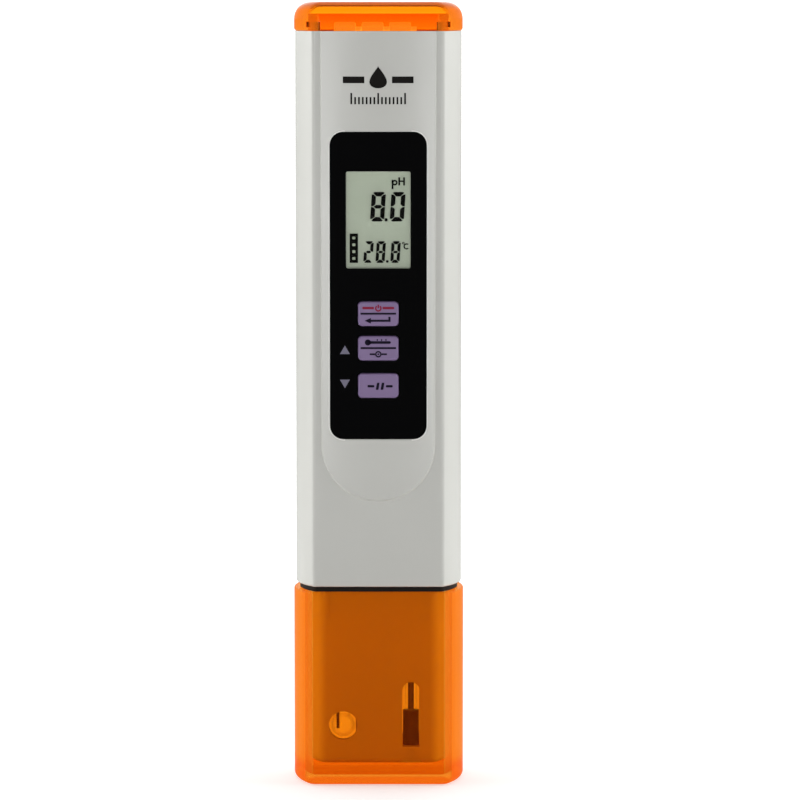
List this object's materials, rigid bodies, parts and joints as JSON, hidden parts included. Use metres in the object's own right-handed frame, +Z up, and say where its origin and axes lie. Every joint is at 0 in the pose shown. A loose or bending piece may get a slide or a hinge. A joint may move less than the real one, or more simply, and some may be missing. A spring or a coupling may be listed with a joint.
{
  "type": "ph meter",
  "caption": "Pocket pH and temperature meter: upright grey case with display and push keys, a pull-off translucent storage cap over the probe and a pull-off battery cap.",
  "frame": {"origin": "centre of the storage cap's flat base, on the surface the meter stands on", "axes": "+Z up the pen towards the battery cap, the display and keys face -Y, +X to the right of the display"},
  "size_m": [0.0338, 0.0203, 0.155],
  "materials": {
    "grey_plastic": "fine satin moulding, light warm grey",
    "housing_plastic": "fine satin moulding, light warm grey",
    "orange_plastic": "translucent gloss",
    "overlay_film": "gloss black film",
    "clear_lens": "clear acrylic",
    "display_glass": "clear glass with polariser",
    "reflector_film": "grey-green reflective film",
    "frame_plastic": "black moulding",
    "zebra_rubber": "layered connector rubber",
    "key_rubber": "satin purple",
    "board_laminate": "green solder mask",
    "chip_plastic": "matt black",
    "component_ceramic": "small chip parts",
    "connector_plastic": "natural nylon",
    "screw_steel": "zinc plated",
    "contact_metal": "nickel plated",
    "cell_can": "nickel plated steel",
    "tray_plastic": "black moulding",
    "black_rubber": "matt black",
    "clear_glass": "clear glass",
    "silver_wire": "chlorided silver",
    "junction_sleeve": "dark brown porous",
    "probe_steel": "stainless",
    "potting_resin": "cast epoxy",
    "red_wire": "insulated wire",
    "black_wire": "insulated wire",
    "white_wire": "insulated wire",
    "label_film": "blank silver-grey film"
  },
  "bodies": {
    "storage_cap": {"storage_cap": "orange_plastic"},
    "meter": {"body_shell": "grey_plastic", "shoulder_gasket": "black_rubber", "display_overlay": "overlay_film", "window_lens": "clear_lens", "lcd_cell": "display_glass", "lcd_reflector": "reflector_film", "lcd_frame": "frame_plastic", "upper_zebra_strip": "zebra_rubber", "lower_zebra_strip": "zebra_rubber", "main_board": "board_laminate", "board_screws": "screw_steel", "chassis": "frame_plastic", "switch_domes": "contact_metal", "microcontroller": "chip_plastic", "amplifier_chip": "chip_plastic", "crystal": "contact_metal", "board_passives": "component_ceramic", "probe_connector": "connector_plastic", "sensor_housing": "housing_plastic", "neck_ring": "black_rubber", "grommets": "black_rubber", "potting_plug": "potting_resin", "glass_stem": "clear_glass", "glass_bulb": "clear_glass", "inner_wire": "silver_wire", "reference_tube": "clear_glass", "reference_junction": "junction_sleeve", "reference_wire": "silver_wire", "thermistor_probe": "probe_steel", "thermistor_leads": "black_wire", "signal_lead": "white_wire", "reference_lead": "red_wire", "positive_terminal": "contact_metal", "negative_terminal": "contact_metal", "positive_lead": "red_wire", "negative_lead": "black_wire", "rear_label": "label_film", "power_switch": "chip_plastic", "temp_switch": "chip_plastic", "hold_switch": "chip_plastic"},
    "battery_drawer": {"battery_cap": "orange_plastic", "battery_cap_seal": "black_rubber", "battery_tray": "tray_plastic", "positive_contact": "contact_metal", "negative_contact": "contact_metal", "cell_spring": "contact_metal", "button_cell_1": "cell_can", "button_cell_2": "cell_can", "button_cell_3": "cell_can"},
    "power_key": {"power_key": "key_rubber", "power_plunger": "chip_plastic"},
    "temp_key": {"temp_key": "key_rubber", "temp_plunger": "chip_plastic"},
    "hold_key": {"hold_key": "key_rubber", "hold_plunger": "chip_plastic"}
  },
  "joints": [
    {"name": "storage_cap_pull", "type": "slide", "parent": "storage_cap", "child": "meter", "axis": [0, 0, 1], "range_m": [0, 0.045]},
    {"name": "battery_cap_pull", "type": "slide", "parent": "meter", "child": "battery_drawer", "axis": [0, 0, 1], "range_m": [0, 0.02]},
    {"name": "power_key_press", "type": "slide", "parent": "meter", "child": "power_key", "axis": [0, 1, 0], "range_m": [0, 0.0003]},
    {"name": "temp_key_press", "type": "slide", "parent": "meter", "child": "temp_key", "axis": [0, 1, 0], "range_m": [0, 0.0003]},
    {"name": "hold_key_press", "type": "slide", "parent": "meter", "child": "hold_key", "axis": [0, 1, 0], "range_m": [0, 0.0003]}
  ]
}
